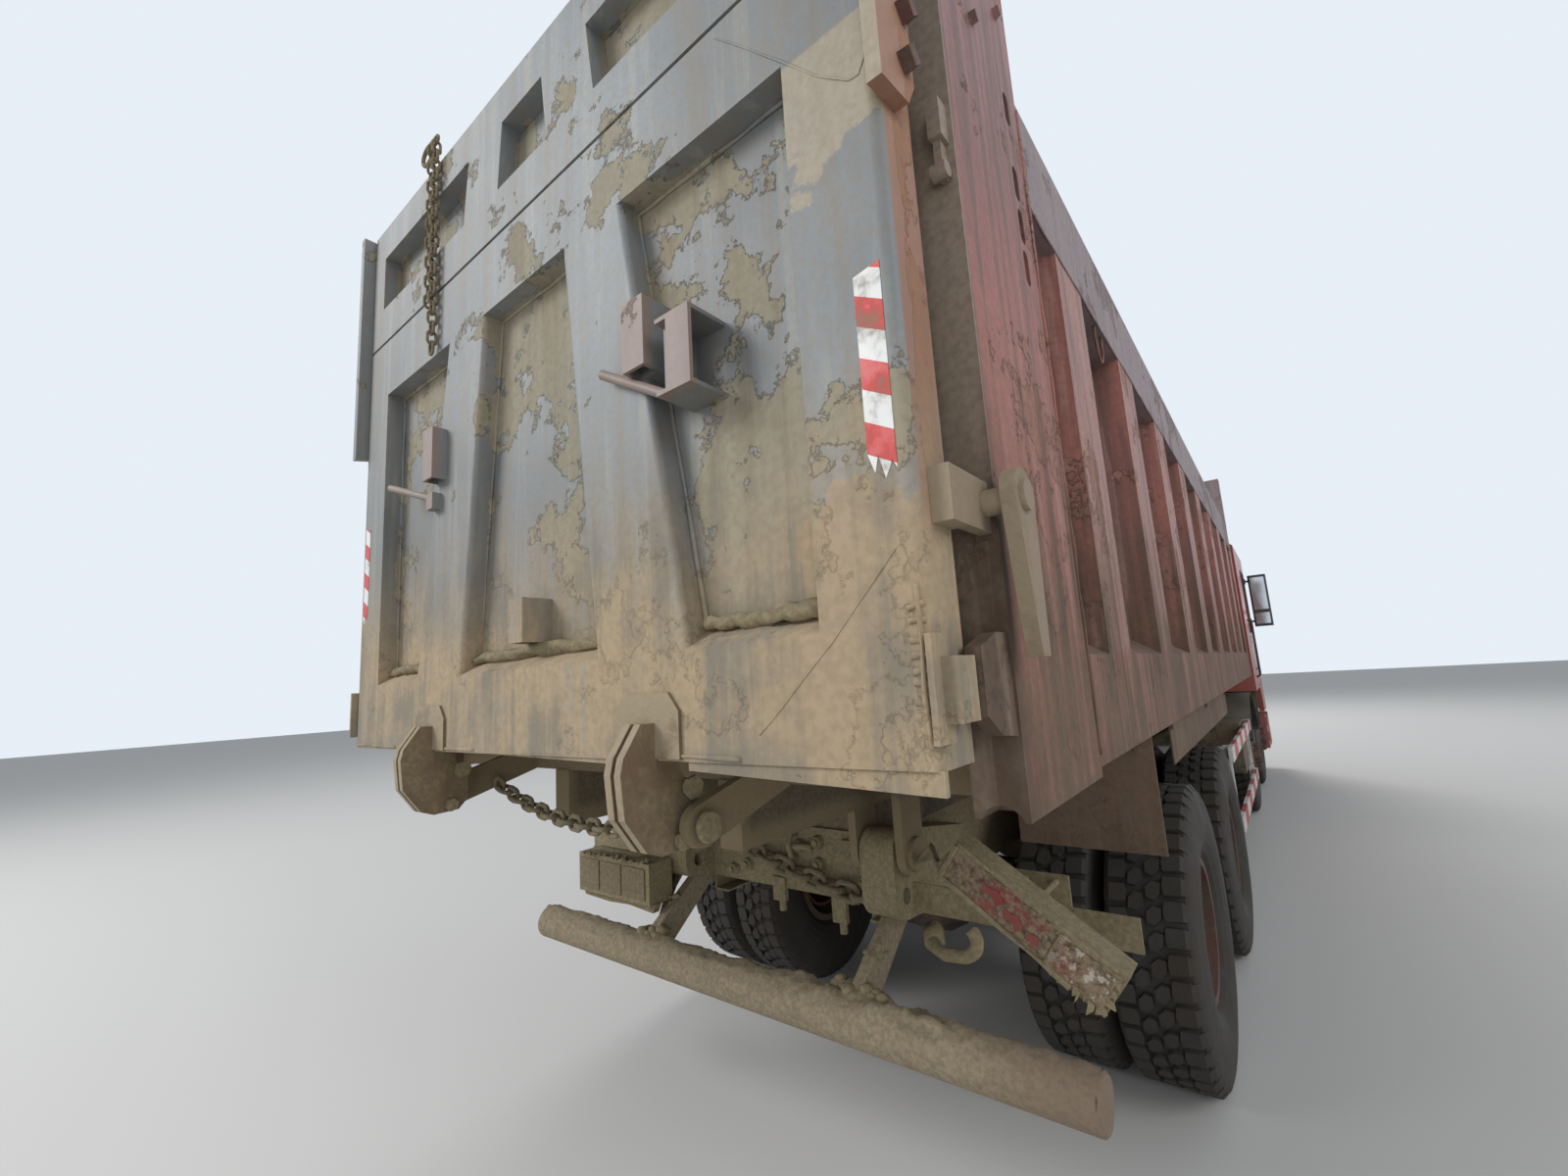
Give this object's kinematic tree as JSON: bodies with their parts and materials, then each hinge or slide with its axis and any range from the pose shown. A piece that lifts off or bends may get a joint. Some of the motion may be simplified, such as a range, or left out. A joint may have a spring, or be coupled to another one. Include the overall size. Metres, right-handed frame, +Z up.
{
  "type": "dump truck",
  "caption": "Eight by four dump truck with a ribbed steel tipping bed, top hinged tailgate, front telescopic lift and forward control tilting cab.",
  "frame": {"origin": "on the ground at the middle of the vehicle's overall length and width", "axes": "+Y forward towards the cab, +X to the vehicle's right, +Z up"},
  "size_m": [3.02, 11.225, 3.76],
  "materials": {
    "frame_paint": "satin",
    "bed_paint": "matte",
    "gate_paint": "matte",
    "cab_paint": "gloss",
    "tyre": "matte",
    "rim_paint": "matte",
    "axle_iron": "matte",
    "spring_steel": "matte",
    "ground_steel": "polished",
    "lift_paint": "satin",
    "worn_steel": "matte",
    "pane": "clear",
    "lamp": "gloss",
    "trim": "matte",
    "seat_cloth": "woven",
    "guard_paint": "satin",
    "tank_metal": "satin"
  },
  "bodies": {
    "chassis": {"chassis_frame": "frame_paint", "sub_frame": "frame_paint", "underrun_bar": "worn_steel", "leaf_springs": "spring_steel", "steer_axles": "axle_iron", "drive_axles": "axle_iron", "tow_chain": "worn_steel", "engine": "axle_iron", "fuel_tank": "tank_metal", "chassis_boxes": "frame_paint", "side_guards": "guard_paint", "front_bumper": "cab_paint", "mudguards": "trim", "lamps": "lamp"},
    "bed": {"bed_floor": "bed_paint", "bed_side_right": "bed_paint", "bed_side_left": "bed_paint", "headboard": "bed_paint", "lug_chain": "worn_steel"},
    "tailgate": {"tailgate": "gate_paint", "lock_hooks": "worn_steel", "gate_chain": "worn_steel"},
    "lift_base": {"lift_base": "lift_paint"},
    "cab": {"cab_walls": "cab_paint", "cab_floor": "cab_paint", "cab_front": "cab_paint", "cab_roof": "cab_paint", "cab_glass": "pane", "seats": "seat_cloth", "dashboard": "trim", "mirrors": "trim"},
    "knuckle_1_right": {"knuckle_1_right": "axle_iron"},
    "wheel_1_right": {"tyre_1_right": "tyre", "rim_1_right": "rim_paint"},
    "knuckle_1_left": {"knuckle_1_left": "axle_iron"},
    "wheel_1_left": {"tyre_1_left": "tyre", "rim_1_left": "rim_paint"},
    "knuckle_2_right": {"knuckle_2_right": "axle_iron"},
    "wheel_2_right": {"tyre_2_right": "tyre", "rim_2_right": "rim_paint"},
    "knuckle_2_left": {"knuckle_2_left": "axle_iron"},
    "wheel_2_left": {"tyre_2_left": "tyre", "rim_2_left": "rim_paint"},
    "wheel_3_right": {"twin_tyres_3_right": "tyre", "twin_rims_3_right": "rim_paint"},
    "wheel_3_left": {"twin_tyres_3_left": "tyre", "twin_rims_3_left": "rim_paint"},
    "wheel_4_right": {"twin_tyres_4_right": "tyre", "twin_rims_4_right": "rim_paint"},
    "wheel_4_left": {"twin_tyres_4_left": "tyre", "twin_rims_4_left": "rim_paint"},
    "lift_stage_1": {"lift_stage_1": "ground_steel"},
    "lift_stage_2": {"lift_stage_2": "ground_steel"},
    "lift_stage_3": {"lift_stage_3": "ground_steel"},
    "lift_stage_4": {"lift_stage_4": "ground_steel"},
    "lift_stage_5": {"lift_stage_5": "ground_steel"},
    "door_right": {"door_right": "cab_paint", "door_glass_right": "pane"},
    "door_left": {"door_left": "cab_paint", "door_glass_left": "pane"}
  },
  "joints": [
    {"name": "steer_1_right", "type": "hinge", "parent": "chassis", "child": "knuckle_1_right", "pos_m": [0.86, 4.0625, 0.5625], "axis": [0, 0, 1], "range_deg": [-34, 34]},
    {"name": "wheel_spin_1_right", "type": "hinge", "parent": "knuckle_1_right", "child": "wheel_1_right", "pos_m": [1.018, 4.0625, 0.5625], "axis": [1, 0, 0], "continuous": true},
    {"name": "steer_1_left", "type": "hinge", "parent": "chassis", "child": "knuckle_1_left", "pos_m": [-0.86, 4.0625, 0.5625], "axis": [0, 0, 1], "range_deg": [-34, 34]},
    {"name": "wheel_spin_1_left", "type": "hinge", "parent": "knuckle_1_left", "child": "wheel_1_left", "pos_m": [-1.018, 4.0625, 0.5625], "axis": [1, 0, 0], "continuous": true},
    {"name": "steer_2_right", "type": "hinge", "parent": "chassis", "child": "knuckle_2_right", "pos_m": [0.86, 2.2125, 0.5625], "axis": [0, 0, 1], "range_deg": [-25.2, 25.2]},
    {"name": "wheel_spin_2_right", "type": "hinge", "parent": "knuckle_2_right", "child": "wheel_2_right", "pos_m": [1.018, 2.2125, 0.5625], "axis": [1, 0, 0], "continuous": true},
    {"name": "steer_2_left", "type": "hinge", "parent": "chassis", "child": "knuckle_2_left", "pos_m": [-0.86, 2.2125, 0.5625], "axis": [0, 0, 1], "range_deg": [-25.2, 25.2]},
    {"name": "wheel_spin_2_left", "type": "hinge", "parent": "knuckle_2_left", "child": "wheel_2_left", "pos_m": [-1.018, 2.2125, 0.5625], "axis": [1, 0, 0], "continuous": true},
    {"name": "wheel_spin_3_right", "type": "hinge", "parent": "chassis", "child": "wheel_3_right", "pos_m": [0.93, -1.8375, 0.5625], "axis": [1, 0, 0], "continuous": true},
    {"name": "wheel_spin_3_left", "type": "hinge", "parent": "chassis", "child": "wheel_3_left", "pos_m": [-0.93, -1.8375, 0.5625], "axis": [1, 0, 0], "continuous": true},
    {"name": "wheel_spin_4_right", "type": "hinge", "parent": "chassis", "child": "wheel_4_right", "pos_m": [0.93, -3.2375, 0.5625], "axis": [1, 0, 0], "continuous": true},
    {"name": "wheel_spin_4_left", "type": "hinge", "parent": "chassis", "child": "wheel_4_left", "pos_m": [-0.93, -3.2375, 0.5625], "axis": [1, 0, 0], "continuous": true},
    {"name": "bed_tilt", "type": "hinge", "parent": "chassis", "child": "bed", "pos_m": [0, -4.4875, 1.08], "axis": [1, 0, 0], "range_deg": [0, 45]},
    {"name": "tailgate_swing", "type": "hinge", "parent": "bed", "child": "tailgate", "pos_m": [0, -5.3975, 3.605], "axis": [-1, 0, 0], "range_deg": [0, 60]},
    {"name": "lift_swing", "type": "hinge", "parent": "chassis", "child": "lift_base", "pos_m": [0, 3.2725, 1.3], "axis": [1, 0, 0], "range_deg": [0, 27.5]},
    {"name": "lift_slide_1", "type": "slide", "parent": "lift_base", "child": "lift_stage_1", "axis": [0, 0, 1], "range_m": [0, 1.18]},
    {"name": "lift_slide_2", "type": "slide", "parent": "lift_stage_1", "child": "lift_stage_2", "axis": [0, 0, 1], "range_m": [0, 1.18]},
    {"name": "lift_slide_3", "type": "slide", "parent": "lift_stage_2", "child": "lift_stage_3", "axis": [0, 0, 1], "range_m": [0, 1.18]},
    {"name": "lift_slide_4", "type": "slide", "parent": "lift_stage_3", "child": "lift_stage_4", "axis": [0, 0, 1], "range_m": [0, 1.18]},
    {"name": "lift_slide_5", "type": "slide", "parent": "lift_stage_4", "child": "lift_stage_5", "axis": [0, 0, 1], "range_m": [0, 1.18]},
    {"name": "cab_tilt", "type": "hinge", "parent": "chassis", "child": "cab", "pos_m": [0, 5.3725, 0.86], "axis": [-1, 0, 0], "range_deg": [0, 50]},
    {"name": "door_swing_right", "type": "hinge", "parent": "cab", "child": "door_right", "pos_m": [1.245, 5.2065, 2], "axis": [0, 0, 1], "range_deg": [0, 70]},
    {"name": "door_swing_left", "type": "hinge", "parent": "cab", "child": "door_left", "pos_m": [-1.245, 5.2065, 2], "axis": [0, 0, -1], "range_deg": [0, 70]}
  ],
  "couplings": [
    {"joint": "steer_1_left", "follows": "steer_1_right", "ratio": 1},
    {"joint": "steer_2_right", "follows": "steer_1_right", "ratio": 0.74},
    {"joint": "steer_2_left", "follows": "steer_1_right", "ratio": 0.74},
    {"joint": "lift_swing", "follows": "bed_tilt", "ratio": 0.6104},
    {"joint": "lift_slide_1", "follows": "bed_tilt", "m_per_rad": 1.4969},
    {"joint": "lift_slide_2", "follows": "bed_tilt", "m_per_rad": 1.4969},
    {"joint": "lift_slide_3", "follows": "bed_tilt", "m_per_rad": 1.4969},
    {"joint": "lift_slide_4", "follows": "bed_tilt", "m_per_rad": 1.4969},
    {"joint": "lift_slide_5", "follows": "bed_tilt", "m_per_rad": 1.4969}
  ]
}
